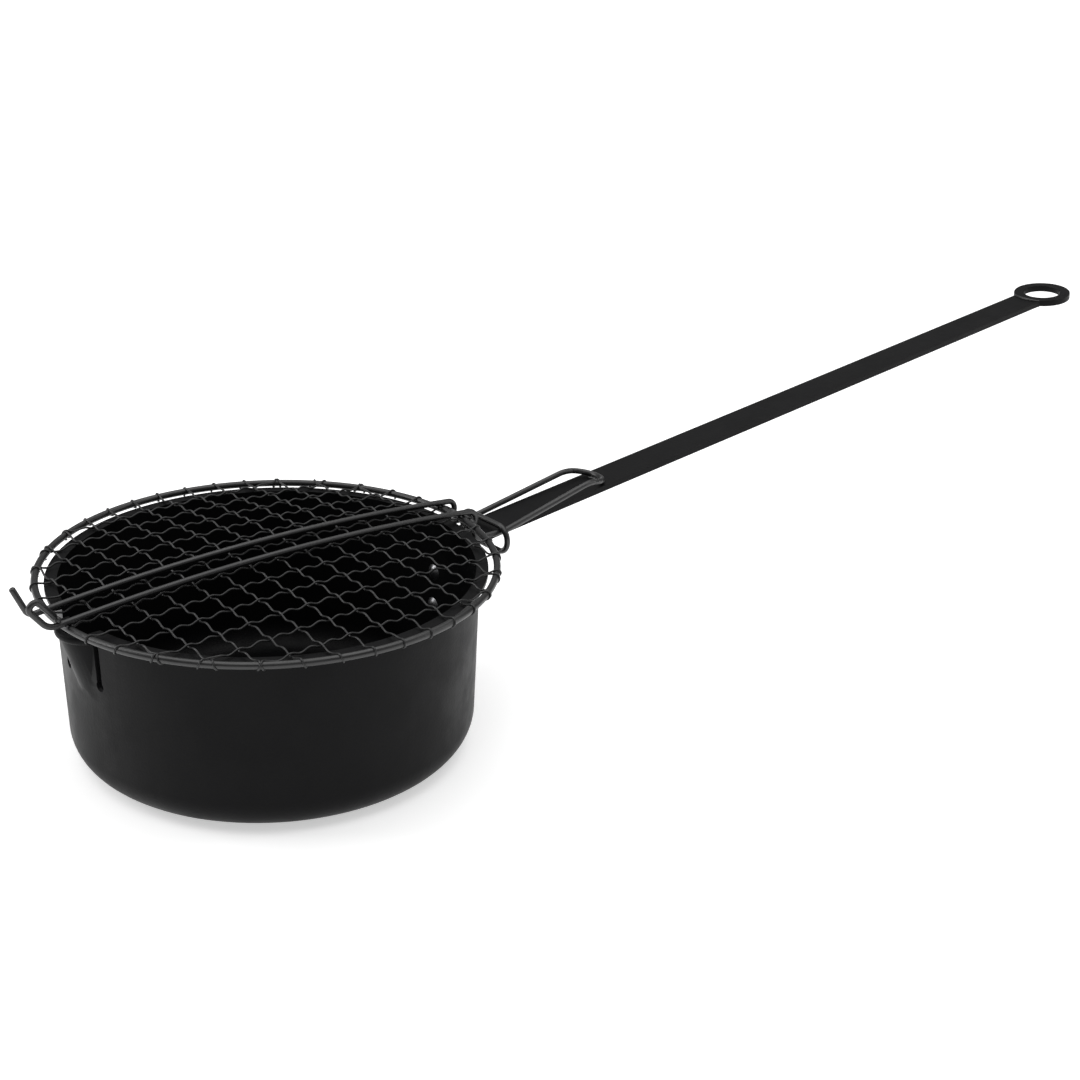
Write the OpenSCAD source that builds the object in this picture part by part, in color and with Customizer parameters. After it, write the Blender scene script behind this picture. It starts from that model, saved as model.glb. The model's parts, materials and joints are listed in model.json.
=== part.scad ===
// Campfire popcorn popper: a deep round steel pan with a pour spout, a long flat
// handle riveted to its wall, and a wire mesh lid that swings on a wire hinge.
// Millimetres. The origin is the middle of the pan's underside, +Z is up and the
// handle runs along +X.

/* [Pan] */
// Height of the pan from its underside to the top of its flange
pan_height = 97.4; // [80:0.1:130]
// Outer radius of the wall just under the flange
wall_top_radius = 109.2; // [95:0.1:125]
// How much narrower the wall is at the bottom than at the top
wall_taper = 2.4; // [0:0.1:6]
// Outer radius of the rounded edge between wall and bottom
bottom_edge_radius = 18; // [8:0.5:24]
// Thickness of the pan's sheet
pan_sheet = 2; // [1.5:0.1:3]
// How far the flat flange round the top stands out past the wall
flange_width = 4.3; // [3:0.1:6]

/* [Spout] */
// Half of the spout's width where it leaves the wall
spout_half_width = 14; // [12:0.5:18]
// How far the spout's lip reaches out past the wall
spout_reach = 8.5; // [7:0.5:10]
// How far the spout's lip lies under the top of the flange
spout_drop = 4.6; // [4.5:0.1:10]
// Radius of the roll along the spout's lip
spout_roll = 2.6; // [2:0.1:3]
// Height of the spout from its foot on the wall to its lip
spout_height = 30; // [24:1:36]
// Width of the slit on each side of the spout
slit_width = 4; // [2:0.1:5]
// Depth of each slit below the spout's lip
slit_depth = 26; // [15:1:32]
// Radius of the round hole at the foot of each slit
slit_hole_radius = 2.7; // [2.6:0.1:3.5]

/* [Handle] */
// Width of the handle's flat bar
handle_width = 22; // [18:0.5:23]
// Thickness of the handle's flat bar
handle_thickness = 3.5; // [3:0.1:4.5]
// Distance from the pan's middle to the middle of the hanging ring
handle_reach = 656; // [400:1:700]
// Upward slope of the handle in degrees
handle_slope = 6.5; // [4:0.1:8]
// Depth of the handle's top face below the flange, where the handle leaves the wall
handle_drop = 14.8; // [14:0.1:17]
// Inner radius of the bend between the bar and its riveted foot
handle_bend_radius = 4; // [3:0.5:6]
// Length of the foot that lies on the wall
handle_foot_length = 46; // [42:1:50]
// Radius of the rivets' shanks
rivet_radius = 2.4; // [2:0.1:3]
// Radius of the rivets' heads
rivet_head_radius = 4.8; // [4:0.1:6]
// Height of the rivets' heads
rivet_head_height = 2; // [1.4:0.1:2.6]
// Distance between the two rivets
rivet_spacing = 20; // [14:1:24]
// Distance from the handle's bend to the upper rivet
rivet_offset = 9.5; // [8:0.5:12]

/* [Hanging ring] */
// Outer radius of the ring at the handle's end
hanging_ring_radius = 19.6; // [16:0.1:24]
// Radius of the hole through that ring
hanging_hole_radius = 12.8; // [8:0.1:14]
// Thickness of that ring
hanging_ring_thickness = 4.4; // [3.5:0.1:6]

/* [Lid] */
// Distance from the flange's edge out to the middle of the lid's rim wire
lid_overhang = 4.5; // [4:0.1:6]
// Diameter of the rim ring's wire
lid_ring_wire = 3.8; // [3:0.1:4]
// Height that the lid rises from its rim to its middle
lid_dome = 5.7; // [4:0.1:9]
// Diameter of the mesh wires
mesh_wire = 1.1; // [0.8:0.1:1.5]
// Number of mesh wires along the handle
long_wire_count = 12; // [8:1:16]
// Number of mesh wires across it
cross_wire_count = 13; // [8:1:16]
// Diameter of the wire of the two lid bars
bar_wire = 3.2; // [2.8:0.1:3.6]
// Distance of each lid bar from the middle of the lid
lid_bar_offset = 9.7; // [9:0.1:10.5]
// Length of each bar's bow past the rim ring at the front
bar_front_arc = 4; // [3:0.5:6]
// Length of the hook bar's straight front end, from there to its corner
hook_run = 6.5; // [5:0.5:8]
// Length of the upturned end of the hook bar
hook_rise = 18; // [12:0.5:20]
// Slope of the hook's upturned end in degrees
hook_slope = 66; // [60:1:75]
// Radius of the bend between the hook bar's straight front end and its upturned end
hook_bend = 5; // [4:0.5:6]
// Length of the loop bar's straight front end, up to its corner
finger_loop_run = 5.5; // [4:0.5:8]
// Length of the finger loop's two sloping sides
finger_loop_rise = 16; // [14:0.5:20]
// Slope of these sides in degrees
finger_loop_slope = 52; // [45:1:60]
// Radius of the bend where the loop's outer side starts to rise
finger_loop_start_bend = 8; // [6:0.5:9]
// Radius of the round tip of the finger loop
finger_loop_bend = 2.8; // [2.4:0.1:3.6]
// Gap between the end of the finger loop and the bar under it
finger_loop_gap = 1; // [0.8:0.1:2]

/* [Hinge] */
// Diameter of the wire of the hinge frame and the keeper loop
frame_wire = 3.4; // [3:0.1:3.6]
// Gap between the hinge pin and the curled ends of the lid bars
hinge_play = 1.4; // [0.8:0.1:1.5]
// Angle that the bars' ends curl round the hinge pin, in degrees
curl_angle = 225; // [190:1:230]
// Distance from the lid's rim wire out to the hinge pin
hinge_offset = 4.8; // [4.4:0.1:6]
// Distance from the hinge pin out to the keeper loop round the handle
keeper_offset = 19.2; // [16:0.1:26]
// Height of the keeper loop, between the middles of its wires
keeper_height = 15; // [14:0.5:18]
// Distance from the hinge pin out to the tip of the hinge frame on the handle
frame_length = 103.5; // [90:0.1:115]
// Height of the frame's legs over the handle's top face at their highest
frame_rise = 6.4; // [5:0.1:8]
// Distance from the frame's tip back to the highest place of its legs
frame_fall = 15; // [14:0.5:18]
// Half of the frame's width at that highest place
frame_half_width = 11.4; // [10.8:0.1:12.5]
// Half of the frame's width at its tip
frame_tip_half_width = 11; // [10:0.1:12]
// Bend radius at each end of the hinge pin
pin_bend = 3; // [2.5:0.1:3.5]
// Bend radius where each upright turns into a leg
leg_bend = 4; // [3:0.5:5]
// Radius of the bend where each leg starts to rise
leg_wide_bend = 14; // [8:1:16]
// Radius of the arch at each leg's highest place
leg_arch = 26; // [20:1:30]

/* [Hidden] */
$fn = 64;
paint = [0.19, 0.19, 0.20];
wire_paint = [0.15, 0.15, 0.16];
zinc = [0.72, 0.73, 0.74];

// Small gaps: between welded or resting pieces, between lid and flange, round the rivets
touch = 0.02;
seat_gap = 0.3;
rivet_clearance = 0.05;
wire_end_gap = 0.2;

// Steps of the bent wires: sides of their section, degrees of bend between two rings
wire_sides = 16;
bend_step = 11;

// Radii of the round wires
ring_r = lid_ring_wire / 2;
mesh_r = mesh_wire / 2;
bar_r = bar_wire / 2;
frame_r = frame_wire / 2;

// Pan
wall_bottom_radius = wall_top_radius - wall_taper;
flange_radius = wall_top_radius + flange_width;
function wall_radius(z) =
    wall_bottom_radius + wall_taper * (z - bottom_edge_radius) / (pan_height - bottom_edge_radius);

// Lid: the two layers of mesh wires lie just under and just over the rim ring's plane
lid_ring_radius = flange_radius + lid_overhang;
layer = mesh_r + touch / 2;
lid_z = pan_height + seat_gap + layer + mesh_r - dome_rise(flange_radius);
function dome_rise(r) = lid_dome * (1 - pow(r / lid_ring_radius, 2));
dome_radius = (pow(lid_ring_radius, 2) + pow(lid_dome, 2)) / (2 * lid_dome);
bar_arc_z = lid_z + ring_r + bar_r + 2 * touch + lid_dome - dome_radius;
bar_front_slope = asin((lid_ring_radius + bar_front_arc) / dome_radius);

// Spout: a round channel that leans out from the wall
lip_z = pan_height - spout_drop;
lip_wall = wall_radius(lip_z);
spout_lean = atan(spout_reach / spout_height);
spout_depth = spout_reach + lip_wall - sqrt(pow(lip_wall, 2) - pow(spout_half_width, 2));
spout_radius = (pow(spout_half_width, 2) + pow(spout_depth, 2)) / (2 * spout_depth);
spout_axis_x = spout_radius - lip_wall - spout_reach;
slit_y = spout_half_width + slit_width / 2 + 0.3;
slit_x = sqrt(pow(lip_wall, 2) - pow(slit_y, 2));

// Handle: its top face is a sloping line that starts at the bend over the foot
handle_foot_x = wall_radius(pan_height - handle_drop);
bend_outer = handle_bend_radius + handle_thickness;
bend_x = handle_foot_x + bend_outer;
bend_z = pan_height - handle_drop - bend_outer;
function handle_top(x) = bend_z + bend_outer / cos(handle_slope) + (x - bend_x) * tan(handle_slope);
handle_length = (handle_reach - bend_x) / cos(handle_slope);
ring_middle_z = handle_top(handle_reach) - handle_thickness / 2 / cos(handle_slope);
foot_bottom_z = bend_z - handle_foot_length;
rivet_heights = [for (i = [0, 1]) bend_z - rivet_offset - i * rivet_spacing];

// Hinge: the bow of each bar runs smoothly into the curl round the pin
hinge_x = lid_ring_radius + hinge_offset;
curl_radius = frame_r + hinge_play + bar_r;
bar_back_slope = asin(hinge_x / (dome_radius - curl_radius));
hinge_z = bar_arc_z + (dome_radius - curl_radius) * cos(bar_back_slope);

// Lid bars: the line of their bow from the front backwards, then the curl; the corners before it
curl_line = arc_line([hinge_x, 0, hinge_z], curl_radius,
                     90 - bar_back_slope, 90 - bar_back_slope - curl_angle, 20);
bar_line = concat(
    arc_line([0, 0, bar_arc_z], dome_radius, 90 + bar_front_slope, 90 - bar_back_slope, 30),
    [for (i = [1:20]) curl_line[i]]
);
function front_corner(run) = bar_line[0] - run * [cos(bar_front_slope), 0, sin(bar_front_slope)];
finger_loop_width = 2 * finger_loop_bend + 0.4;

// Hinge frame: pin, uprights beside the curls, legs along the handle, round tip
keeper_x = hinge_x + keeper_offset;
frame_tip_x = hinge_x + frame_length;
leg_y = lid_bar_offset + bar_r + frame_r + 1;
keeper_lift = 4;
keeper_side_gap = 2;
keeper_top_z = handle_top(keeper_x) + keeper_lift;
upright_lean = 2;
leg_start_x = keeper_x + 4;
leg_low_z = keeper_top_z - frame_wire - touch;
leg_high_x = frame_tip_x - frame_fall;
leg_high_z = handle_top(leg_high_x) + frame_rise;
frame_tip_z = handle_top(frame_tip_x) + frame_r / cos(handle_slope) + 0.1;

// Mesh: wires along the handle and wires across it, evenly spaced inside the rim ring
mesh_radius = lid_ring_radius - ring_r;
function mesh_places(count) = [for (i = [1:count]) mesh_radius * (2 * i / (count + 1) - 1)];
long_places = mesh_places(long_wire_count);
cross_places = mesh_places(cross_wire_count);
function half_chord(place) = sqrt(pow(mesh_radius, 2) - pow(abs(place) + mesh_r, 2));
function two_digits(i) = str(i < 10 ? "0" : "", i);
function long_name(i) = str("mesh_long_wire_", two_digits(i + 1));
function cross_name(i) = str("mesh_cross_wire_", two_digits(i + 1));

// Directions, turns and trimmed lengths along a list of corner points
function unit(v) = v / norm(v);
function heading(p, i) = unit(p[i + 1] - p[i]);
function turn(p, i) = acos(heading(p, i - 1) * heading(p, i));
function trim(p, bends, i) = bends[i - 1] * tan(turn(p, i) / 2);

// Points of the rounded corner i
function corner_points(p, bends, i) =
    let (
        along = heading(p, i - 1),
        inward = unit(heading(p, i) - (heading(p, i) * along) * along),
        middle = p[i] - trim(p, bends, i) * along + bends[i - 1] * inward,
        steps = max(2, ceil(turn(p, i) / bend_step))
    )
    [for (k = [0:steps])
        middle + bends[i - 1] * (sin(turn(p, i) * k / steps) * along - cos(turn(p, i) * k / steps) * inward)];

// Points of a wire through corners, with a bend radius for each corner between its two ends
function wire_line(p, bends) =
    concat([p[0]], [for (i = [1:len(p) - 2]) each corner_points(p, bends, i)], [p[len(p) - 1]]);

// Points of a round arc in the XZ plane; 0 degrees is +X and 90 is +Z
function arc_line(middle, radius, from, to, steps) =
    [for (k = [0:steps])
        let (a = from + (to - from) * k / steps)
        middle + radius * [cos(a), 0, sin(a)]];

// Sideways directions along a wire, each carried on from the one before without twist
function carried(t, done) =
    len(done) == len(t) ? done :
    let (side = done[len(done) - 1], next = t[len(done)])
    carried(t, concat(done, [unit(side - (side * next) * next)]));

// A round wire along a list of points
module wire_tube(p, r) {
    last = len(p) - 1;
    ahead = [for (i = [0:last]) unit(
        (i < last ? heading(p, i) : [0, 0, 0]) + (i > 0 ? heading(p, i - 1) : [0, 0, 0]))];
    across = abs(ahead[0].y) < 0.5 ? [0, 1, 0] : [0, 0, 1];
    side = carried(ahead, [unit(across - (across * ahead[0]) * ahead[0])]);
    points = [for (i = [0:last], k = [0:wire_sides - 1])
        let (a = 360 * k / wire_sides)
        p[i] + r * (cos(a) * side[i] + sin(a) * cross(ahead[i], side[i]))];
    skin = [for (i = [0:last - 1], k = [0:wire_sides - 1])
        let (a = i * wire_sides + k, b = i * wire_sides + (k + 1) % wire_sides)
        each [[a, a + wire_sides, b + wire_sides], [a, b + wire_sides, b]]];
    first_end = [for (k = [0:wire_sides - 1]) k];
    last_end = [for (k = [0:wire_sides - 1]) len(points) - 1 - k];
    polyhedron(points, concat(skin, [first_end, last_end]));
}

// Part of a round wire ring in the XZ plane; 0 degrees is +X and 90 is +Z
module wire_arc(ring_radius, r, from, to) {
    rotate([90, 0, 0])
        rotate([0, 0, from])
            rotate_extrude(angle = to - from, $fn = 360)
                translate([ring_radius, 0]) circle(r = r, $fn = 48);
}

// Half section of the pan's body, moved inwards by a sheet's thickness, up to a height
module pan_section(inset, top) {
    edge = bottom_edge_radius - inset;
    flat = wall_bottom_radius - bottom_edge_radius;
    translate([0, inset]) square([flat, edge]);
    translate([flat, bottom_edge_radius])
        intersection() {
            circle(r = edge);
            translate([-edge, -edge]) square([2 * edge, edge]);
        }
    polygon([
        [0, bottom_edge_radius],
        [wall_bottom_radius - inset, bottom_edge_radius],
        [wall_radius(top) - inset, top],
        [0, top]
    ]);
}

// The leaning round channel that forms the spout
module spout_channel(r, above) {
    translate([spout_axis_x, 0, lip_z])
        rotate([0, -spout_lean, 0])
            translate([0, 0, -spout_height]) cylinder(r = r, h = spout_height + above);
}

// Round roll along the spout's edge, a little flattened on top by the cut at the lip
module spout_lip() {
    translate([spout_axis_x, 0, lip_z - 0.7 * spout_roll])
        rotate_extrude()
            translate([spout_radius - pan_sheet / 2, 0]) circle(r = spout_roll);
}

// Everything over the spout's lip, between the outer sides of the two slits
module spout_mouth() {
    half = slit_y + slit_width / 2;
    translate([-2 * wall_top_radius, -half, lip_z])
        cube([1.5 * wall_top_radius, 2 * half, pan_height]);
}

module slit(side) {
    translate([-slit_x - 5, side * slit_y - slit_width / 2, lip_z - slit_depth])
        cube([10, slit_width, slit_depth + 1]);
    translate([-slit_x - 5, side * slit_y, lip_z - slit_depth])
        rotate([0, 90, 0]) cylinder(r = slit_hole_radius, h = 10);
}

module rivet_holes() {
    for (z = rivet_heights)
        translate([wall_bottom_radius - 12, 0, z])
            rotate([0, 90, 0]) cylinder(r = rivet_radius + rivet_clearance, h = 30);
}

module pan() color(paint)
    difference() {
        union() {
            rotate_extrude() pan_section(0, pan_height - pan_sheet / 2);
            translate([0, 0, pan_height - pan_sheet])
                cylinder(r = flange_radius, h = pan_sheet);
            difference() {
                spout_channel(spout_radius, 20);
                translate([-2 * wall_top_radius, -wall_top_radius, lip_z])
                    cube([2 * wall_top_radius, 2 * wall_top_radius, pan_height]);
            }
            spout_lip();
        }
        rotate_extrude() pan_section(pan_sheet, pan_height + 1);
        spout_channel(spout_radius - pan_sheet, 30);
        spout_mouth();
        for (side = [-1, 1]) slit(side);
        rivet_holes();
    }

// Side view of the bent flat bar: foot, bend and long bar, from the bend's middle
module handle_section() {
    steps = 12;
    sweep = 90 - handle_slope;
    angles = [for (i = [0:steps]) 180 - sweep * i / steps];
    out = handle_length * [cos(handle_slope), sin(handle_slope)];
    outer = [for (a = angles) bend_outer * [cos(a), sin(a)]];
    inner = [for (a = angles) handle_bend_radius * [cos(a), sin(a)]];
    polygon(concat(
        [[-bend_outer - 6, -handle_foot_length], [-bend_outer - 6, 0]],
        outer,
        [outer[steps] + out, inner[steps] + out],
        [for (i = [0:steps]) inner[steps - i]],
        [[-handle_bend_radius, -handle_foot_length]]
    ));
}

module handle_bar() color(paint)
    difference() {
        translate([bend_x, handle_width / 2, bend_z])
            rotate([90, 0, 0]) linear_extrude(handle_width) handle_section();
        rotate_extrude() polygon([
            [0, foot_bottom_z - 1],
            [wall_radius(foot_bottom_z - 1) + touch, foot_bottom_z - 1],
            [wall_radius(pan_height) + touch, pan_height],
            [0, pan_height]
        ]);
        place_hanging_ring()
            cylinder(r = hanging_ring_radius + touch, h = 4 * hanging_ring_thickness, center = true);
        rivet_holes();
    }

module place_hanging_ring() {
    translate([handle_reach, 0, ring_middle_z])
        rotate([0, -handle_slope, 0]) children();
}

module hanging_ring() color(paint)
    place_hanging_ring()
        difference() {
            cylinder(r = hanging_ring_radius, h = hanging_ring_thickness, center = true);
            cylinder(r = hanging_hole_radius, h = hanging_ring_thickness + 1, center = true);
        }

// Low domed rivet head with its flat face at the origin
module rivet_head() {
    ball = (pow(rivet_head_radius, 2) + pow(rivet_head_height, 2)) / (2 * rivet_head_height);
    intersection() {
        translate([0, 0, rivet_head_height - ball]) sphere(r = ball);
        cylinder(r = rivet_head_radius + 1, h = rivet_head_height + 1);
    }
}

module rivet(z) {
    outer = handle_foot_x + handle_thickness + touch;
    inner = wall_radius(z) - pan_sheet - 0.2;
    bite = rivet_head_height / 2;
    translate([inner - bite, 0, z])
        rotate([0, 90, 0]) cylinder(r = rivet_radius, h = outer - inner + 2 * bite);
    translate([outer, 0, z])
        rotate([0, 90, 0]) rivet_head();
    translate([inner, 0, z])
        rotate([0, -90, 0]) rivet_head();
}

module handle_rivets() color(zinc)
    for (z = rivet_heights) rivet(z);

// One bent wire whose two ends meet in the middle of the hinge pin
module hinge_frame() color(wire_paint) {
    leg = [
        [hinge_x, leg_y, hinge_z],
        [hinge_x + upright_lean, leg_y, leg_low_z],
        [leg_start_x, leg_y, leg_low_z],
        [leg_high_x, frame_half_width, leg_high_z],
        [frame_tip_x, frame_tip_half_width, frame_tip_z]
    ];
    other_leg = [for (i = [0:4]) [leg[4 - i].x, -leg[4 - i].y, leg[4 - i].z]];
    pin_ends = [for (s = [1, -1]) [hinge_x, s * wire_end_gap / 2, hinge_z]];
    bends = [pin_bend, leg_bend, leg_wide_bend, leg_arch, frame_tip_half_width - 2];
    wire_tube(wire_line(
        concat([pin_ends[0]], leg, other_leg, [pin_ends[1]]),
        concat(bends, [for (i = [0:4]) bends[4 - i]])), frame_r);
}

module keeper_loop() color(wire_paint) {
    end_radius = keeper_height / 2;
    half = handle_width / 2 + keeper_side_gap;
    translate([keeper_x, 0, keeper_top_z])
        for (side = [-1, 1]) {
            translate([0, side * half, -end_radius])
                rotate([90, 0, side * 90])
                    rotate([0, 0, -90])
                        rotate_extrude(angle = 180)
                            translate([end_radius, 0]) circle(r = frame_r);
            for (z = [0, -keeper_height])
                translate([0, 0, z])
                    rotate([-90 * side, 0, 0]) cylinder(r = frame_r, h = half);
        }
}

module lid_ring() color(wire_paint)
    translate([0, 0, lid_z])
        rotate_extrude() translate([lid_ring_radius, 0]) circle(r = ring_r);

// A lid bar: its front corners and their bends, then the line that both bars share
module lid_bar(front, bends) {
    wire_tube(concat(wire_line(concat(front, [bar_line[1]]), bends),
                     [for (i = [2:len(bar_line) - 1]) bar_line[i]]), bar_r);
}

module lid_hook_bar() color(wire_paint) {
    corner = front_corner(hook_run);
    tip = corner + hook_rise * [-cos(hook_slope), 0, sin(hook_slope)];
    translate([0, lid_bar_offset, 0]) lid_bar([tip, corner], [hook_bend]);
}

// The finger loop's wire slopes up, turns round at its tip and comes back until it nearly meets the bar
module lid_loop_bar() color(wire_paint) {
    outward = [-cos(finger_loop_slope), 0, sin(finger_loop_slope)];
    over = [sin(finger_loop_slope), 0, cos(finger_loop_slope)];
    corner = front_corner(finger_loop_run);
    outer_tip = corner + finger_loop_rise * outward;
    inner_tip = outer_tip + finger_loop_width * over;
    end_z = bar_line[0].z + bar_wire + finger_loop_gap;
    end = inner_tip - (inner_tip.z - end_z) / sin(finger_loop_slope) * outward;
    translate([0, -lid_bar_offset, 0])
        lid_bar([end, inner_tip, outer_tip, corner],
                [finger_loop_bend, finger_loop_bend, finger_loop_start_bend]);
}

// A mesh wire bowed along X, at its distance from the middle line and its layer
module mesh_bow(place, height) {
    reach = asin(half_chord(place) / dome_radius);
    translate([0, place, height + dome_rise(place) - dome_radius])
        wire_arc(dome_radius, mesh_r, 90 - reach, 90 + reach);
}

module mesh_long(i) color(paint)
    mesh_bow(long_places[i], lid_z - layer);

module mesh_cross(i) color(paint)
    rotate([0, 0, 90]) mesh_bow(-cross_places[i], lid_z + layer);

pan();
handle_bar();
hanging_ring();
handle_rivets();
hinge_frame();
keeper_loop();
lid_ring();
lid_hook_bar();
lid_loop_bar();
for (i = [0:len(long_places) - 1])
    mesh_long(i);
for (i = [0:len(cross_places) - 1])
    mesh_cross(i);
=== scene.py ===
"""Campfire popcorn popper: painted pan and handle, wire hinge and woven mesh lid, on a pale floor."""
import json
import math

import bmesh
import bpy
from bpy.props import FloatProperty, FloatVectorProperty, IntProperty, PointerProperty
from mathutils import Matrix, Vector, noise


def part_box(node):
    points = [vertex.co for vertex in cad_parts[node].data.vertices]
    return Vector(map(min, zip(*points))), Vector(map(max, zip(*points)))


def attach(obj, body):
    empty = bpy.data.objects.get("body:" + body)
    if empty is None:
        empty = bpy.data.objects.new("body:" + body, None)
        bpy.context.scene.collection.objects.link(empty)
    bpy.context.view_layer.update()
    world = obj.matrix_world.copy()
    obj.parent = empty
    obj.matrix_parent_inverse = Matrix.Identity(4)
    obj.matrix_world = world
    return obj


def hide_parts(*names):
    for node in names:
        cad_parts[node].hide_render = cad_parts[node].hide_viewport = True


bl_info = {
    "name": "Campfire popcorn popper",
    "version": (1, 0, 0),
    "blender": (4, 5, 0),
    "location": "3D View > Sidebar > Popper",
    "description": "Dresses the popper's solids with paint, bent wire, woven mesh and welds",
    "category": "Object",
}

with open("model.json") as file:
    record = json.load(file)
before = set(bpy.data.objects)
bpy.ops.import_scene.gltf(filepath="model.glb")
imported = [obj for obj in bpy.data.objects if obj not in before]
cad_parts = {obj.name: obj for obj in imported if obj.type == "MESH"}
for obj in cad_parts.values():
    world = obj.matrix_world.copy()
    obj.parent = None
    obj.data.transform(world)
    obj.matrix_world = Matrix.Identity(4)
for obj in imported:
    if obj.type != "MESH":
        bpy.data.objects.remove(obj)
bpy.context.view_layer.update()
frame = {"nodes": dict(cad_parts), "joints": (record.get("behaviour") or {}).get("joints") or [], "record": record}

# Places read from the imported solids, in metres
RING_LOW, RING_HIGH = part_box("lid_ring")
KEEPER_LOW, KEEPER_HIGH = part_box("keeper_loop")
HANDLE_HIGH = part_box("handle_bar")[1]
HINGE = Vector(frame["joints"][0]["pos_m"])
HANGING_HOLE = next(m for m in frame["record"]["mounts"] if m["name"] == "hanging_hole")
HANGING_PLACE = Vector(HANGING_HOLE["pos_m"])
HANGING_AXIS = Vector(HANGING_HOLE["axis"]).normalized()
HANDLE_SLOPE = math.atan2(-HANGING_AXIS.x, HANGING_AXIS.z)
LONG_WIRES = sorted(n for n in frame["nodes"] if n.startswith("mesh_long_wire"))
CROSS_WIRES = sorted(n for n in frame["nodes"] if n.startswith("mesh_cross_wire"))

# Small gaps and bends of the wires, in metres
TOUCH = 0.00002  # between two wires that lie on each other
PIN_SEAM = 0.0001  # from the hinge pin's middle to each end of the frame's wire
UPRIGHT_GAP = 0.001  # between the bars' curls and the frame's uprights
UPRIGHT_LEAN = 0.002  # from the hinge pin to the uprights' feet, towards the handle
LEG_START = 0.004  # from the keeper to where the frame's legs start to rise
TIP_LIFT = 0.0001  # under the frame's tip, over the handle
TIP_EASE = 0.0005  # the tip's bends are this much smaller than half its width
PIN_BEND = 0.003
UPRIGHT_BEND = 0.004
LEG_START_BEND = 0.014
LEG_TOP_BEND = 0.026
LOOP_FLAT = 0.0004  # straight stretch between the two bends at the finger loop's tip

# Wires as tubes
SAME_POINT = 1e-6  # points of a line closer than this are one, in metres
STEEP = 0.7  # upward share of a direction from which a tube's first side is taken from Y, not from Z
END_TURNS = (1.45, 1.1, 0.6, 0.0)  # radians from a domed end's full width towards its middle
END_DEPTH = 0.5  # share of the wire's radius

# Woven mesh, lengths in metres
MESH_STEP = 0.001  # one step along a woven wire
HALF_WAVES = 3  # from one crossing to the next
MESH_DRIFT = 0.0003  # how far a wire strays sideways
DRIFT_ALONG, DRIFT_ACROSS, DRIFT_LAYER = 40, 90, 5  # how fast that changes on and between the wires
WEAVE_END = 0.0065  # from the end of the weave to the rim ring's inner side
WRAP_PRESS = 0.45  # below 1, the wrapped ends bite into the ring's paint
WRAP_FIRST = math.radians(66)  # 0 is the ring's inner side and a quarter turn its top
WRAP_LAST = math.radians(312)
WRAP_LEAN = 0.35  # greatest slant of a wrapped end along the ring

# Weld beads, lengths in metres
BEAD_SIDES = 10
BEAD_END = 0.08  # share of a bead's length at each end that stays blunt
BEAD_TAPER = 0.4  # the lower, the fuller the bead
BEAD_RIPPLE = 0.10  # share of the radius
BEAD_WAVE = 1.9  # radians of ripple from one step to the next
BEAD_GRAIN = 900  # lumps to the metre
BEAD_ASIDE = 0.0013  # from the wire's middle line to the bead at its side
BEAD_LIFT = 0.0002  # over the handle's faces
BAR_BEAD_RADIUS = 0.0011
BAR_BEAD_HALF = 0.0025  # half of the bead's length
LOOP_BEAD_RADIUS = 0.0016
LOOP_BEAD_RUN = 0.0022  # from the finger loop's end back along its bar
TIP_BEAD_RADIUS = 0.0012
TIP_BEAD_TURN = math.radians(34)  # to each side of the tip
TIP_BEAD_INSET = 0.001  # from the handle's edge
RING_BEAD_RADIUS = 0.0011
RING_BEAD_OUT = 0.0004  # outside the hanging ring
RING_BEAD_INSET = 0.0008  # from the handle's edge

# Straight steps in round lines
BEND_STEP = math.radians(6)
BOW_STEPS = 40
CURL_STEPS = 36
KEEPER_STEPS = 24
RING_STEPS = 240
WRAP_STEPS = 26
JOIN_STEPS = 8

# Softened solids
SAME_PLACE = 2e-6  # corners closer than this are one, in metres
FLAT_ANGLE = math.radians(0.4)  # faces that turn less are one face
BEVEL_ANGLE = math.radians(38)  # edges that turn more are rounded
SHARP_ANGLE = math.radians(35)  # edges that turn more stay sharp in the shading

# Finishes
IOR = 1.5
PAINT_PEEL = 0.00012  # depth of the orange peel, in metres
ZINC_GRAIN = 0.00005  # depth of the zinc's grain, in metres
BUMP_STRENGTH = 0.5
WORN_ROUGHNESS = 0.12  # added where the paint is worn
DULL_ZINC = 0.7  # share of the zinc's brightness in its dull patches

# Stage, lengths in metres
FLOOR_HALF = 9.0
FLOOR_CELLS = 24
FLOOR_DROP = 0.0003
FLOOR_ROUGHNESS = 0.85
FLOOR_SHADE = 0.985  # share of the floor's brightness in its darker patches
NEAR_GLOW, FAR_GLOW = 0.5, 0.9  # light that the floor gives off near the pan and far from it
GLOW_START, GLOW_END = 0.6, 5.0  # distances between which that light grows
WORLD_LIGHT = 0.27  # what the white surroundings give to the pieces
WORLD_SEEN = 1.0  # how bright the camera sees them
CAMERA_PLACE = (-0.4476, -0.7428, 0.4712)
CAMERA_TURN = (67.43, -1.35, -39.79)  # degrees
CAMERA_LENS = 60  # millimetres, as is the sensor
CAMERA_SENSOR = 36
CAMERA_REACH = 50


def length(name, description, default):
    """A size in metres that a user may change."""
    return FloatProperty(name=name, description=description, default=default, unit="LENGTH", precision=5)


def turn(name, description, degrees):
    """An angle that a user may change."""
    return FloatProperty(name=name, description=description, default=math.radians(degrees), subtype="ANGLE")


def colour(name, description, default):
    """A paint or metal colour that a user may change."""
    return FloatVectorProperty(name=name, description=description, default=default, subtype="COLOR",
                               size=3, min=0.0, max=1.0)


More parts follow.
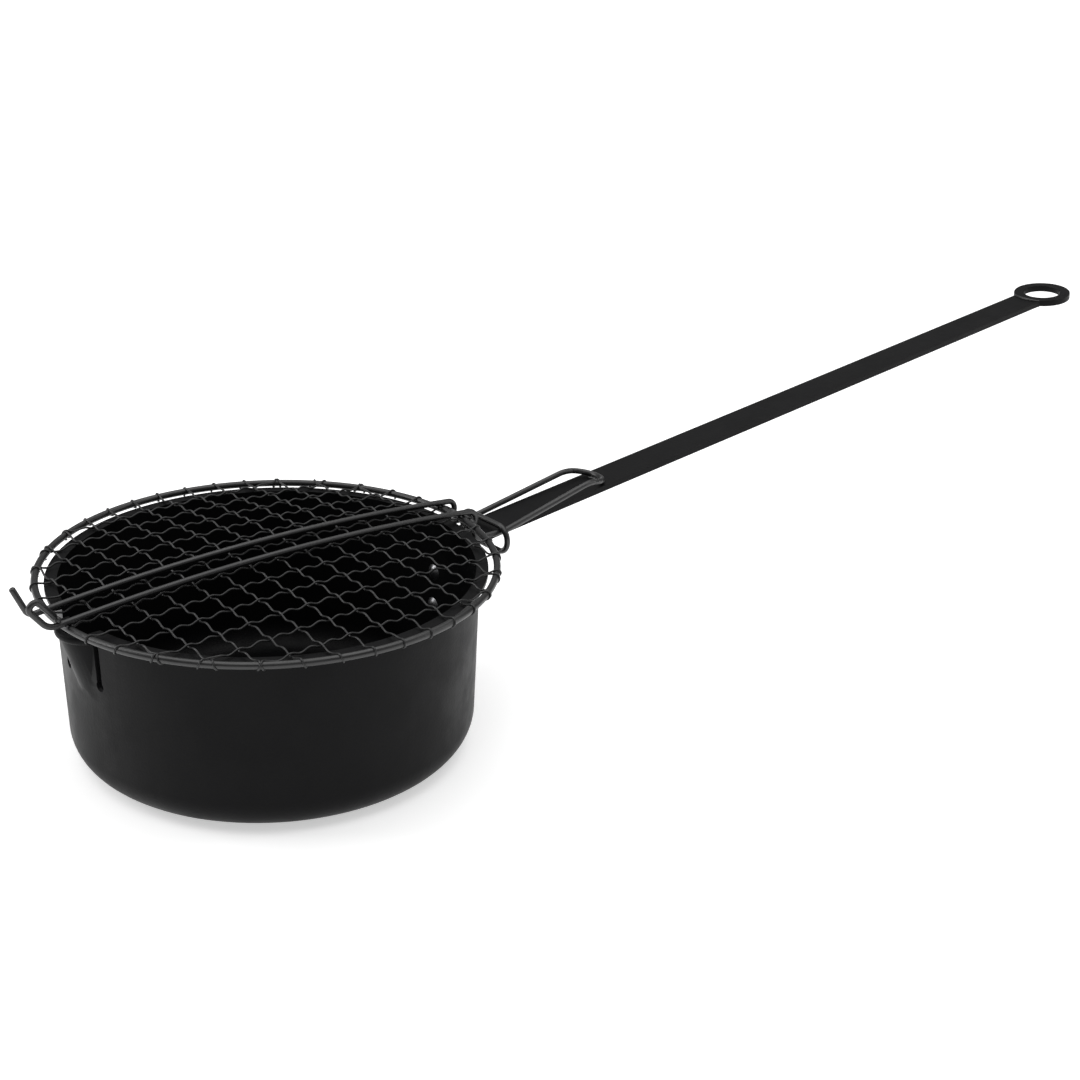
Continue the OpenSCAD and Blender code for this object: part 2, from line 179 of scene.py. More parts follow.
class PopperSizes(bpy.types.PropertyGroup):
    """Sizes of the pieces that are made here."""

    ring_radius: length("Lid ring radius", "Middle of the lid's rim wire",
                        (RING_HIGH.x - RING_LOW.x - RING_HIGH.z + RING_LOW.z) / 2)
    ring_wire: length("Lid ring wire", "Diameter of the lid's rim wire", RING_HIGH.z - RING_LOW.z)
    ring_height: length("Lid ring height", "Height of the middle of the rim wire",
                        (RING_HIGH.z + RING_LOW.z) / 2)
    dome: length("Dome", "Rise of the lid from its rim to its middle", 0.0057)
    mesh_wire: length("Mesh wire", "Diameter of the woven wires", 0.0011)
    crimp: length("Crimp", "Height of the woven wires' waves over and under their middle", 0.00075)
    bar_wire: length("Bar wire", "Diameter of the two lid bars", 0.0032)
    bar_offset: length("Bar offset", "Distance of each lid bar from the lid's middle line", 0.0097)
    bar_front_arc: length("Bar front bow", "Length of each bar's bow past the rim at the front", 0.004)
    hook_run: length("Hook run", "Straight front end of the hook bar up to its corner", 0.0065)
    hook_rise: length("Hook rise", "Length of the hook bar's upturned end", 0.018)
    hook_slope: turn("Hook slope", "Slope of the hook's upturned end", 66)
    hook_bend: length("Hook bend", "Bend radius at the hook bar's front corner", 0.005)
    loop_run: length("Finger loop run", "Straight front end of the loop bar up to its corner", 0.0055)
    loop_rise: length("Finger loop rise", "Length of the finger loop's sloping sides", 0.016)
    loop_slope: turn("Finger loop slope", "Slope of the finger loop's sides", 52)
    loop_start_bend: length("Finger loop start bend", "Bend radius where the loop starts to rise", 0.008)
    loop_bend: length("Finger loop bend", "Bend radius at the finger loop's tip", 0.0028)
    loop_gap: length("Finger loop gap", "Gap between the finger loop's end and its bar", 0.001)
    frame_wire: length("Frame wire", "Diameter of the hinge frame's wire", 0.0034)
    hinge_play: length("Hinge play", "Gap between the hinge pin and the bars' curls", 0.0014)
    curl_angle: turn("Curl angle", "Turn of each bar's curl round the hinge pin", 225)
    frame_length: length("Frame length", "From the hinge pin to the frame's tip on the handle", 0.1035)
    frame_rise: length("Frame rise", "Height of the frame's legs over the handle", 0.0064)
    frame_fall: length("Frame fall", "From the frame's tip back to its legs' highest place", 0.015)
    frame_half_width: length("Frame half width", "Half of the frame's width where it is highest", 0.0114)
    frame_tip_half_width: length("Frame tip half width", "Half of the frame's width at its tip", 0.011)
    handle_thickness: length("Handle thickness", "Thickness of the handle's flat bar", 0.0035)
    hanging_radius: length("Hanging ring radius", "Outer radius of the hanging ring", 0.0196)
    edge_round: length("Edge rounding", "Rounding of the sheet and bar edges under the paint", 0.0005)
    wire_sides: IntProperty(name="Wire sides", description="Sides of the bent wires", default=20, min=8)
    mesh_sides: IntProperty(name="Mesh wire sides", description="Sides of the woven wires", default=10, min=6)


class PopperColours(bpy.types.PropertyGroup):
    """Colours of the finishes."""

    paint: colour("Paint", "Black satin paint of pan and handle", (0.0046, 0.0046, 0.0050))
    wire_paint: colour("Wire paint", "Black paint of the bent wires", (0.0056, 0.0056, 0.0060))
    mesh_paint: colour("Mesh paint", "Grey black coat of the woven wires", (0.013, 0.013, 0.0135))
    worn: colour("Worn paint", "Paint rubbed thin along the edges", (0.030, 0.0295, 0.029))
    steel: colour("Rivet steel", "Bright zinc coat of the rivets", (0.30, 0.30, 0.31))
    floor: colour("Floor", "Pale studio floor", (0.88, 0.88, 0.88))


# Lines of the bent wires


def spaced(start, end, steps):
    """Evenly spaced numbers from start to end, both included."""
    return [start + (end - start) * k / steps for k in range(steps + 1)]


def corner_line(corners, bends):
    """Points through the corners, with a round bend at each corner between the two ends."""
    points = [corners[0]]
    for before, here, after, bend in zip(corners, corners[1:], corners[2:], bends):
        along = (here - before).normalized()
        onward = (after - here).normalized()
        turned = along.angle(onward)
        inward = (onward - along * onward.dot(along)).normalized()
        middle = here - along * bend * math.tan(turned / 2) + inward * bend
        for a in spaced(0.0, turned, max(2, math.ceil(turned / BEND_STEP))):
            points.append(middle + bend * (math.sin(a) * along - math.cos(a) * inward))
    points.append(corners[-1])
    return points


def arc_line(middle, radius, start, end, steps):
    """Points of an arc in the XZ plane; 0 is +X and a quarter turn is +Z."""
    return [middle + radius * Vector((math.cos(a), 0, math.sin(a))) for a in spaced(start, end, steps)]


def joining_line(start, leaving, end, arriving, steps):
    """Points between two places on a curve that leaves and arrives in the given directions."""
    gap = (end - start).length
    points = []
    for t in spaced(0.0, 1.0, steps)[1:-1]:
        square, cube = t ** 2, t ** 3
        points.append((2 * cube - 3 * square + 1) * start + (cube - 2 * square + t) * gap * leaving
                      + (3 * square - 2 * cube) * end + (cube - square) * gap * arriving)
    return points


def without_doubles(points):
    """The same points with those left out that repeat the one before."""
    kept = [points[0]]
    for p in points[1:]:
        if (p - kept[-1]).length > SAME_POINT:
            kept.append(p)
    return kept


# Mesh pieces


def new_piece(name, mesh, body, slot, material, *nodes):
    """Puts a mesh into the scene, on its body, in place of the solids it stands for."""
    piece = bpy.data.objects.new(name, mesh)
    bpy.context.scene.collection.objects.link(piece)
    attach(piece, body)
    if nodes:
        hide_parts(*nodes)
    mesh.materials.append(material)


def domed_ends(points, radii):
    """An open wire's points and radii with narrowing rings just inside its two ends."""
    narrow = [math.cos(a) for a in END_TURNS]
    inset = [END_DEPTH * (math.sin(END_TURNS[0]) - math.sin(a)) for a in END_TURNS]
    ahead = (points[1] - points[0]).normalized() * radii[0]
    back = (points[-2] - points[-1]).normalized() * radii[-1]
    first = [points[0] + ahead * inward for inward in inset]
    last = [points[-1] + back * inward for inward in reversed(inset)]
    first_radii = [radii[0] * share for share in narrow]
    last_radii = [radii[-1] * share for share in reversed(narrow)]
    return first + points[1:-1] + last, first_radii + radii[1:-1] + last_radii


def add_tube(bm, points, radii, sides, closed=False):
    """Adds a round wire along points to a mesh; an open wire gets softly domed ends."""
    if not closed:
        points, radii = domed_ends(points, radii)
    count = len(points)
    side = None
    rings = []
    for i in range(count):
        before = points[i - 1] if closed or i > 0 else points[i]
        after = points[(i + 1) % count] if closed or i < count - 1 else points[i]
        ahead = (after - before).normalized()
        if side is None:
            side = Vector((0, 0, 1)) if abs(ahead.z) < STEEP else Vector((0, 1, 0))
        side = (side - ahead * side.dot(ahead)).normalized()
        over = ahead.cross(side)
        rings.append([bm.verts.new(points[i] + radii[i] * (math.cos(a) * side + math.sin(a) * over))
                      for a in (math.tau * k / sides for k in range(sides))])
    for i in range(count if closed else count - 1):
        ring, following = rings[i], rings[(i + 1) % count]
        for k in range(sides):
            bm.faces.new((ring[k], ring[(k + 1) % sides], following[(k + 1) % sides], following[k]))
    if not closed:
        bm.faces.new(reversed(rings[0]))
        bm.faces.new(rings[-1])


def finish_mesh(bm, name):
    """Turns edited geometry into a smooth shaded mesh with outward faces."""
    bmesh.ops.recalc_face_normals(bm, faces=bm.faces)
    mesh = bpy.data.meshes.new(name)
    bm.to_mesh(mesh)
    bm.free()
    mesh.shade_smooth()
    return mesh


def wire_piece(name, points, radius, sides, body, slot, material, node, closed=False):
    """One bent wire as a piece of its own, in place of its solid."""
    points = without_doubles(points)
    bm = bmesh.new()
    add_tube(bm, points, [radius] * len(points), sides, closed)
    new_piece(name, finish_mesh(bm, name), body, slot, material, node)


def add_weld(bm, points, radius, seed):
    """Adds a rippled weld bead with tapered ends along points."""
    radii = []
    for i, t in enumerate(spaced(0.0, 1.0, len(points) - 1)):
        taper = math.sin(math.pi * min(max(t, BEAD_END), 1 - BEAD_END)) ** BEAD_TAPER
        wave = math.sin(i * BEAD_WAVE + seed)
        lump = noise.noise(points[i] * BEAD_GRAIN + Vector((seed, 0, 0)))
        radii.append(radius * taper * (1 + BEAD_RIPPLE * wave + BEAD_RIPPLE * lump))
    add_tube(bm, points, radii, BEAD_SIDES)


def with_modifier(mesh, kind, **settings):
    """The mesh that a modifier makes of another, which is then taken away."""
    helper = bpy.data.objects.new(mesh.name + "_helper", mesh)
    bpy.context.scene.collection.objects.link(helper)
    modifier = helper.modifiers.new(kind.lower(), kind)
    for setting, value in settings.items():
        setattr(modifier, setting, value)
    graph = bpy.context.evaluated_depsgraph_get()
    made = bpy.data.meshes.new_from_object(helper.evaluated_get(graph))
    bpy.data.objects.remove(helper)
    bpy.data.meshes.remove(mesh)
    return made


def softened_piece(node, name, body, slot, material, width):
    """A copy of a solid with rounded edges; the rounded strips are marked for paint wear."""
    bm = bmesh.new()
    bm.from_mesh(frame["nodes"][node].data)
    bmesh.ops.remove_doubles(bm, verts=bm.verts, dist=SAME_PLACE)
    bmesh.ops.dissolve_limit(bm, angle_limit=FLAT_ANGLE, verts=bm.verts, edges=bm.edges)
    rough = bpy.data.meshes.new(name + "_rough")
    bm.to_mesh(rough)
    bm.free()
    # Two empty material slots, so that the bevel can put its strips into the second
    rough.materials.clear()
    rough.materials.append(None)
    rough.materials.append(None)
    mesh = with_modifier(rough, "BEVEL", width=width, segments=3, limit_method="ANGLE",
                         angle_limit=BEVEL_ANGLE, material=1, miter_outer="MITER_ARC")
    edge = mesh.attributes.new("edge", "FLOAT", "CORNER")
    for polygon in mesh.polygons:
        if polygon.material_index == 1:
            for corner in polygon.loop_indices:
                edge.data[corner].value = 1.0
            polygon.material_index = 0
    mesh.shade_smooth()
    mesh.set_sharp_from_angle(angle=SHARP_ANGLE)
    mesh = with_modifier(mesh, "WEIGHTED_NORMAL", keep_sharp=True)
    mesh.name = name
    mesh.materials.clear()
    new_piece(name, mesh, body, slot, material, node)


# Shader nodes


def group_tree(name, inputs, outputs):
    """A new shader node group with named value sockets; returns the tree and its two end nodes."""
    tree = bpy.data.node_groups.new(name, "ShaderNodeTree")
    for socket, default in inputs:
        item = tree.interface.new_socket(socket, in_out="INPUT", socket_type="NodeSocketFloat")
        item.default_value = default
    for socket in outputs:
        tree.interface.new_socket(socket, in_out="OUTPUT", socket_type="NodeSocketFloat")
    return tree, tree.nodes.new("NodeGroupInput"), tree.nodes.new("NodeGroupOutput")


def add_group(tree, group):
    """A node that uses a node group."""
    node = tree.nodes.new("ShaderNodeGroup")
    node.node_tree = group
    return node


def noise_node(tree, scale, detail, roughness, vector=None):
    """A noise texture on the piece's own coordinates, in metres, or on a given vector."""
    node = tree.nodes.new("ShaderNodeTexNoise")
    node.inputs["Detail"].default_value = detail
    node.inputs["Roughness"].default_value = roughness
    if isinstance(scale, (int, float)):
        node.inputs["Scale"].default_value = scale
    else:
        tree.links.new(scale, node.inputs["Scale"])
    if vector is None:
        vector = tree.nodes.new("ShaderNodeTexCoord").outputs["Object"]
    tree.links.new(vector, node.inputs["Vector"])
    return node.outputs["Fac"]


def ramp(tree, value, low=0.0, high=1.0, to_low=0.0, to_high=1.0):
    """Maps a value range smoothly onto another."""
    node = tree.nodes.new("ShaderNodeMapRange")
    node.interpolation_type = "SMOOTHSTEP"
    node.inputs["From Min"].default_value = low
    node.inputs["From Max"].default_value = high
    node.inputs["To Min"].default_value = to_low
    node.inputs["To Max"].default_value = to_high
    tree.links.new(value, node.inputs["Value"])
    return node.outputs["Result"]


def maths(tree, operation, first, second):
    """One sum, product or the like of two values, each a socket or a number."""
    node = tree.nodes.new("ShaderNodeMath")
    node.operation = operation
    for socket, value in zip(node.inputs, (first, second)):
        if isinstance(value, (int, float)):
            socket.default_value = value
        else:
            tree.links.new(value, socket)
    return node.outputs[0]


def mix_colour(tree, factor, first, second):
    """Mixes two plain colours by a mask."""
    node = tree.nodes.new("ShaderNodeMix")
    node.data_type = "RGBA"
    # A Mix node's colour sockets come after those for numbers and vectors
    node.inputs[6].default_value = (*first, 1.0)
    node.inputs[7].default_value = (*second, 1.0)
    tree.links.new(factor, node.inputs[0])
    return node.outputs[2]


def add_bump(tree, height, shader, distance):
    """Feeds a height into the shader's normal."""
    node = tree.nodes.new("ShaderNodeBump")
    node.inputs["Strength"].default_value = BUMP_STRENGTH
    node.inputs["Distance"].default_value = distance
    tree.links.new(height, node.inputs["Height"])
    tree.links.new(node.outputs["Normal"], shader.inputs["Normal"])


def new_shader(name, specular):
    """A new material, its nodes and its Principled shader."""
    material = bpy.data.materials.new(name)
    material.use_nodes = True
    shader = material.node_tree.nodes["Principled BSDF"]
    shader.inputs["Specular IOR Level"].default_value = specular
    shader.inputs["IOR"].default_value = IOR
    return material, material.node_tree, shader


# Finishes


def paint_grain_group():
    """Fine orange peel and broad mottling of sprayed paint."""
    tree, ins, outs = group_tree("Paint grain", [("Peel scale", 700.0), ("Mottle scale", 26.0)],
                                 ["Height", "Mottle"])
    peel = noise_node(tree, ins.outputs["Peel scale"], detail=2.0, roughness=0.5)
    mottle = noise_node(tree, ins.outputs["Mottle scale"], detail=5.0, roughness=0.6)
    tree.links.new(peel, outs.inputs["Height"])
    tree.links.new(ramp(tree, mottle, low=0.3, high=0.7), outs.inputs["Mottle"])
    return tree


def edge_wear_group():
    """Patchy wear along edges that are marked on the mesh, with a few stray scuffs on the faces."""
    tree, ins, outs = group_tree("Edge wear", [("Edge", 0.0), ("Edge amount", 0.8), ("Scuffs", 0.25)],
                                 ["Mask"])
    patches = ramp(tree, noise_node(tree, scale=120.0, detail=4.0, roughness=0.65), low=0.42, high=0.68)
    patchy_edge = maths(tree, "MULTIPLY", ins.outputs["Edge"], patches)
    edge = maths(tree, "MULTIPLY", patchy_edge, ins.outputs["Edge amount"])
    coords = tree.nodes.new("ShaderNodeTexCoord")
    stretch = tree.nodes.new("ShaderNodeMapping")
    stretch.inputs["Scale"].default_value = (30.0, 180.0, 260.0)
    stretch.inputs["Rotation"].default_value = (0.3, 0.4, 0.6)
    tree.links.new(coords.outputs["Object"], stretch.inputs["Vector"])
    streaks = noise_node(tree, scale=1.0, detail=6.0, roughness=0.7, vector=stretch.outputs["Vector"])
    scuffs = maths(tree, "MULTIPLY", ramp(tree, streaks, low=0.66, high=0.80), ins.outputs["Scuffs"])
    tree.links.new(maths(tree, "MAXIMUM", edge, scuffs), outs.inputs["Mask"])
    return tree


class Finishes:
    """The popper's materials, each made once from the chosen colours."""

    def __init__(self, colours):
        self.colours = colours
        self.grain = bpy.data.node_groups.get("Paint grain") or paint_grain_group()
        self.wear = bpy.data.node_groups.get("Edge wear") or edge_wear_group()

    def painted(self, name, paint, smooth, rough, edge_amount, scuffs, peel_scale, specular):
        """Sprayed paint with orange peel, mottled gloss and worn edges."""
        found = bpy.data.materials.get(name)
        if found:
            return found
        material, tree, shader = new_shader(name, specular)
        grain = add_group(tree, self.grain)
        grain.inputs["Peel scale"].default_value = peel_scale
        wear = add_group(tree, self.wear)
        wear.inputs["Edge amount"].default_value = edge_amount
        wear.inputs["Scuffs"].default_value = scuffs
        marked = tree.nodes.new("ShaderNodeAttribute")
        marked.attribute_name = "edge"
        tree.links.new(marked.outputs["Fac"], wear.inputs["Edge"])
        tree.links.new(mix_colour(tree, wear.outputs["Mask"], paint, self.colours.worn),
                       shader.inputs["Base Color"])
        gloss = ramp(tree, grain.outputs["Mottle"], to_low=smooth, to_high=rough)
        worn_gloss = maths(tree, "MULTIPLY", wear.outputs["Mask"], WORN_ROUGHNESS)
        tree.links.new(maths(tree, "ADD", gloss, worn_gloss), shader.inputs["Roughness"])
        add_bump(tree, grain.outputs["Height"], shader, PAINT_PEEL)
        return material

    def pan_paint(self):
        """Satin paint of the pan, the handle and its ring."""
        return self.painted("satin_pan_paint", self.colours.paint, smooth=0.38, rough=0.50,
                            edge_amount=0.55, scuffs=0.06, peel_scale=750.0, specular=0.09)

    def wire_paint(self):
        """Paint of the bent wires, a little thicker and smoother."""
        return self.painted("satin_wire_paint", self.colours.wire_paint, smooth=0.30, rough=0.42,
                            edge_amount=0.5, scuffs=0.30, peel_scale=420.0, specular=0.65)

    def mesh_paint(self):
        """Thin grey black coat of the woven wires."""
        return self.painted("mesh_wire_coat", self.colours.mesh_paint, smooth=0.34, rough=0.46,
                            edge_amount=0.5, scuffs=0.4, peel_scale=900.0, specular=0.45)

    def rivet_steel(self):
        """Bright zinc with a fine grain and a little mottling."""
        found = bpy.data.materials.get("bright_rivet_zinc")
        if found:
            return found
        material, tree, shader = new_shader("bright_rivet_zinc", specular=0.5)
        grain = add_group(tree, self.grain)
        grain.inputs["Peel scale"].default_value = 1800.0
        grain.inputs["Mottle scale"].default_value = 400.0
        dull = [DULL_ZINC * c for c in self.colours.steel]
        tree.links.new(mix_colour(tree, grain.outputs["Mottle"], self.colours.steel, dull),
                       shader.inputs["Base Color"])
        shader.inputs["Metallic"].default_value = 1.0
        gloss = ramp(tree, grain.outputs["Mottle"], to_low=0.28, to_high=0.42)
        tree.links.new(gloss, shader.inputs["Roughness"])
        add_bump(tree, grain.outputs["Height"], shader, ZINC_GRAIN)
        return material


def finishes():
    """The materials in the scene's chosen colours."""
    return Finishes(bpy.context.scene.popper_colours)


def sizes():
    """The scene's chosen sizes."""
    return bpy.context.scene.popper_sizes


# Lines that several pieces share


def dome_curve(s):
    """Radius of the arc that the lid's bars follow over its dome."""
    return (s.ring_radius ** 2 + s.dome ** 2) / (2 * s.dome)


def dome_height(s, x, y):
    """Height of the mesh's middle surface over the frame's origin."""
    return s.ring_height + s.dome * (1 - (x * x + y * y) / s.ring_radius ** 2)


def bar_lines(s):
    """The bow and curl that both lid bars share, from the front backwards, and the way on past the front."""
    curve = dome_curve(s)
    curl = (s.frame_wire + s.bar_wire) / 2 + s.hinge_play
    top = s.ring_height + (s.ring_wire + s.bar_wire) / 2 + 2 * TOUCH + s.dome
    front = math.asin((s.ring_radius + s.bar_front_arc) / curve)
    back = math.asin(HINGE.x / (curve - curl))
    quarter = math.pi / 2
    bow = arc_line(Vector((0, 0, top - curve)), curve, quarter + front, quarter - back, BOW_STEPS)
    curled = arc_line(Vector((HINGE.x, 0, HINGE.z)), curl, quarter - back, quarter - back - s.curl_angle,
                      CURL_STEPS)
    return bow + curled[1:], -Vector((math.cos(front), 0, math.sin(front)))


def loop_corners(s, start, ahead):
    """The finger loop's end over the bar, its two tip corners and the corner where it starts to rise."""
    outward = Vector((-math.cos(s.loop_slope), 0, math.sin(s.loop_slope)))
    over = Vector((math.sin(s.loop_slope), 0, math.cos(s.loop_slope)))
    corner = start + s.loop_run * ahead
    outer_tip = corner + s.loop_rise * outward
    inner_tip = outer_tip + (2 * s.loop_bend + LOOP_FLAT) * over
    end_height = start.z + s.bar_wire + s.loop_gap
    end = inner_tip - (inner_tip.z - end_height) / math.sin(s.loop_slope) * outward
    return [end, inner_tip, outer_tip, corner]


def handle_top(s, x):
    """Height of the handle's top face at a distance from the pan's middle."""
    middle = HANGING_PLACE.z + (x - HANGING_PLACE.x) * math.tan(HANDLE_SLOPE)
    return middle + s.handle_thickness / 2 / math.cos(HANDLE_SLOPE)


# Operators


class POPPER_OT_pan(bpy.types.Operator):
    """Pressed and painted pan with its spout and slits"""

    bl_idname = "popper.pan"
    bl_label = "Pan"

    def execute(self, context):
        softened_piece("pan", "painted_pan", "pan_and_handle", "pan_paint", finishes().pan_paint(),
                       sizes().edge_round)
        return {"FINISHED"}


class POPPER_OT_handle(bpy.types.Operator):
    """Flat bar handle and the ring at its end"""

    bl_idname = "popper.handle"
    bl_label = "Handle and hanging ring"

    def execute(self, context):
        paint = finishes().pan_paint()
        for node, name in (("handle_bar", "painted_handle"), ("hanging_ring", "painted_hanging_ring")):
            softened_piece(node, name, "pan_and_handle", "pan_paint", paint, sizes().edge_round)
        return {"FINISHED"}


class POPPER_OT_rivets(bpy.types.Operator):
    """Bright rivets that hold the handle"""

    bl_idname = "popper.rivets"
    bl_label = "Rivets"

    def execute(self, context):
        rivets = frame["nodes"]["handle_rivets"]
        rivets.data.materials.clear()
        rivets.data.materials.append(finishes().rivet_steel())
        return {"FINISHED"}


class POPPER_OT_hinge(bpy.types.Operator):
    """Bent wire hinge frame and the keeper loop round the handle"""

    bl_idname = "popper.hinge"
    bl_label = "Hinge frame and keeper"

    def execute(self, context):
        s = sizes()
        paint = finishes().wire_paint()
        radius = s.frame_wire / 2
        keeper_x = (KEEPER_LOW.x + KEEPER_HIGH.x) / 2
        wire_piece("bent_hinge_frame", self.frame_line(s, radius, keeper_x), radius, s.wire_sides,
                   "pan_and_handle", "wire_paint", paint, "hinge_frame")
        wire_piece("bent_keeper_loop", self.keeper_line(radius, keeper_x), radius, s.wire_sides,
                   "pan_and_handle", "wire_paint", paint, "keeper_loop", closed=True)
        return {"FINISHED"}

    def frame_line(self, s, radius, keeper_x):
        """Points from the hinge pin's middle along one leg to the tip and back along the other."""
        upright_y = s.bar_offset + (s.bar_wire + s.frame_wire) / 2 + UPRIGHT_GAP
        low = KEEPER_HIGH.z - 3 * radius - TOUCH
        tip_x = HINGE.x + s.frame_length
        high_x = tip_x - s.frame_fall
        high = handle_top(s, high_x) + s.frame_rise
        tip = handle_top(s, tip_x) + radius / math.cos(HANDLE_SLOPE) + TIP_LIFT
        leg = [
            Vector((HINGE.x, upright_y, HINGE.z)),
            Vector((HINGE.x + UPRIGHT_LEAN, upright_y, low)),
            Vector((keeper_x + LEG_START, upright_y, low)),
            Vector((high_x, s.frame_half_width, high)),
            Vector((tip_x, s.frame_tip_half_width, tip)),
        ]
        other = [Vector((p.x, -p.y, p.z)) for p in reversed(leg)]
        ends = [Vector((HINGE.x, side * PIN_SEAM, HINGE.z)) for side in (1, -1)]
        tip_bend = s.frame_tip_half_width - TIP_EASE
        bends = [PIN_BEND, UPRIGHT_BEND, LEG_START_BEND, LEG_TOP_BEND, tip_bend]
        return corner_line([ends[0], *leg, *other, ends[1]], bends + bends[::-1])

    def keeper_line(self, radius, keeper_x):
        """Points of the long loop with two round ends."""
        end = (KEEPER_HIGH.z - KEEPER_LOW.z) / 2 - radius
        half = KEEPER_HIGH.y - radius - end
        middle_z = (KEEPER_HIGH.z + KEEPER_LOW.z) / 2
        points = []
        for side in (1, -1):
            for a in spaced(math.pi / 2, -math.pi / 2, KEEPER_STEPS):
                y = half + end * math.cos(a)
                points.append(Vector((keeper_x, side * y, middle_z + side * end * math.sin(a))))
        return points


class POPPER_OT_lid_frame(bpy.types.Operator):
    """Rim ring of the lid and its two bars, one with a hook and one with a finger loop"""

    bl_idname = "popper.lid_frame"
    bl_label = "Lid ring and bars"

    def execute(self, context):
        s = sizes()
        paint = finishes().wire_paint()
        circle = [Vector((s.ring_radius * math.cos(a), s.ring_radius * math.sin(a), s.ring_height))
                  for a in (math.tau * k / RING_STEPS for k in range(RING_STEPS))]
        wire_piece("lid_rim_wire", circle, s.ring_wire / 2, s.wire_sides, "lid", "wire_paint", paint,
                   "lid_ring", closed=True)

        line, ahead = bar_lines(s)
        corner = line[0] + s.hook_run * ahead
        tip = corner + s.hook_rise * Vector((-math.cos(s.hook_slope), 0, math.sin(s.hook_slope)))
        fronts = (
            ("lid_bar_with_hook", "lid_hook_bar", 1, [tip, corner], [s.hook_bend]),
            ("lid_bar_with_loop", "lid_loop_bar", -1, loop_corners(s, line[0], ahead),
             [s.loop_bend, s.loop_bend, s.loop_start_bend]),
        )
        for name, node, side, front, bends in fronts:
            shift = Vector((0, side * s.bar_offset, 0))
            points = [p + shift for p in corner_line([*front, line[1]], bends) + line[2:]]
            wire_piece(name, points, s.bar_wire / 2, s.wire_sides, "lid", "wire_paint", paint, node)
        return {"FINISHED"}


class POPPER_OT_mesh(bpy.types.Operator):
    """Woven, crimped mesh wires with their ends wrapped round the rim ring"""

    bl_idname = "popper.mesh"
    bl_label = "Woven mesh"

    def execute(self, context):
        s = sizes()
        coat = finishes().mesh_paint()
        reach = s.ring_radius - s.ring_wire / 2
        weaves = ((True, LONG_WIRES, CROSS_WIRES), (False, CROSS_WIRES, LONG_WIRES))
        for along_handle, nodes, others in weaves:
            pitch = 2 * reach / (len(nodes) + 1)
            for i, node in enumerate(nodes):
                place = -reach + (i + 1) * pitch
                line = self.wire_line(s, along_handle, i, place, len(others), reach)
                name = "woven_" + node[len("mesh_"):]
                wire_piece(name, line, s.mesh_wire / 2, s.mesh_sides, "lid", "mesh_paint", coat, node)
        return {"FINISHED"}

    def wire_line(self, s, along_handle, index, place, crossings, reach):
        """Points of one wire: wrapped start, waves over and under the wires it crosses, wrapped end."""
        sign = (1 if along_handle else -1) * (-1) ** index
        crossing_pitch = 2 * reach / (crossings + 1)

        def at(t):
            x, y = (t, place) if along_handle else (place, t)
            crossing = t / crossing_pitch + (crossings + 1) / 2
            wave = sign * s.crimp * math.cos(HALF_WAVES * math.pi * crossing)
            spot = Vector((t * DRIFT_ALONG, place * DRIFT_ACROSS, sign * DRIFT_LAYER))
            drift = MESH_DRIFT * noise.noise(spot)
            side = Vector((0, drift, 0)) if along_handle else Vector((drift, 0, 0))
            return Vector((x, y, dome_height(s, x, y) + wave)) + side

        under_bar = along_handle and abs(abs(place) - s.bar_offset) < s.bar_wire
        chord = math.sqrt(reach ** 2 - place ** 2)
        inner = chord if under_bar else chord - WEAVE_END
        woven = [at(t) for t in spaced(-inner, inner, math.ceil(2 * inner / MESH_STEP))]
        if under_bar:
            return woven
        start = self.wrapped_end(s, woven[0], woven[0] - woven[1])
        end = self.wrapped_end(s, woven[-1], woven[-1] - woven[-2])
        return start[::-1] + woven + end

    def wrapped_end(self, s, last, ahead):
        """Points from the mesh over the rim ring and tightly round it to its lower inner side."""
        ahead = ahead.normalized()
        flat = Vector((ahead.x, ahead.y, 0)).normalized()
        here = Vector((last.x, last.y, 0))
        along = here.dot(flat)
        meet = here + flat * (-along + math.sqrt(along ** 2 - here.length_squared + s.ring_radius ** 2))
        angle = math.atan2(meet.y, meet.x)
        wrap = (s.ring_wire + WRAP_PRESS * s.mesh_wire) / 2
        radial = Vector((math.cos(angle), math.sin(angle), 0))
        tangent = Vector((-radial.y, radial.x, 0))
        lean = max(-WRAP_LEAN, min(WRAP_LEAN, flat.dot(tangent) / flat.dot(radial)))

        def round_ring(turned):
            a = angle + lean * wrap * (turned - math.pi / 2) / s.ring_radius
            out = Vector((math.cos(a), math.sin(a), 0))
            middle = s.ring_radius * out + Vector((0, 0, s.ring_height))
            return middle + wrap * (-math.cos(turned) * out + math.sin(turned) * Vector((0, 0, 1)))

        wrapped = [round_ring(turned) for turned in spaced(WRAP_FIRST, WRAP_LAST, WRAP_STEPS)]
        onto = (wrapped[1] - wrapped[0]).normalized()
        return joining_line(last, ahead, wrapped[0], onto, JOIN_STEPS) + wrapped


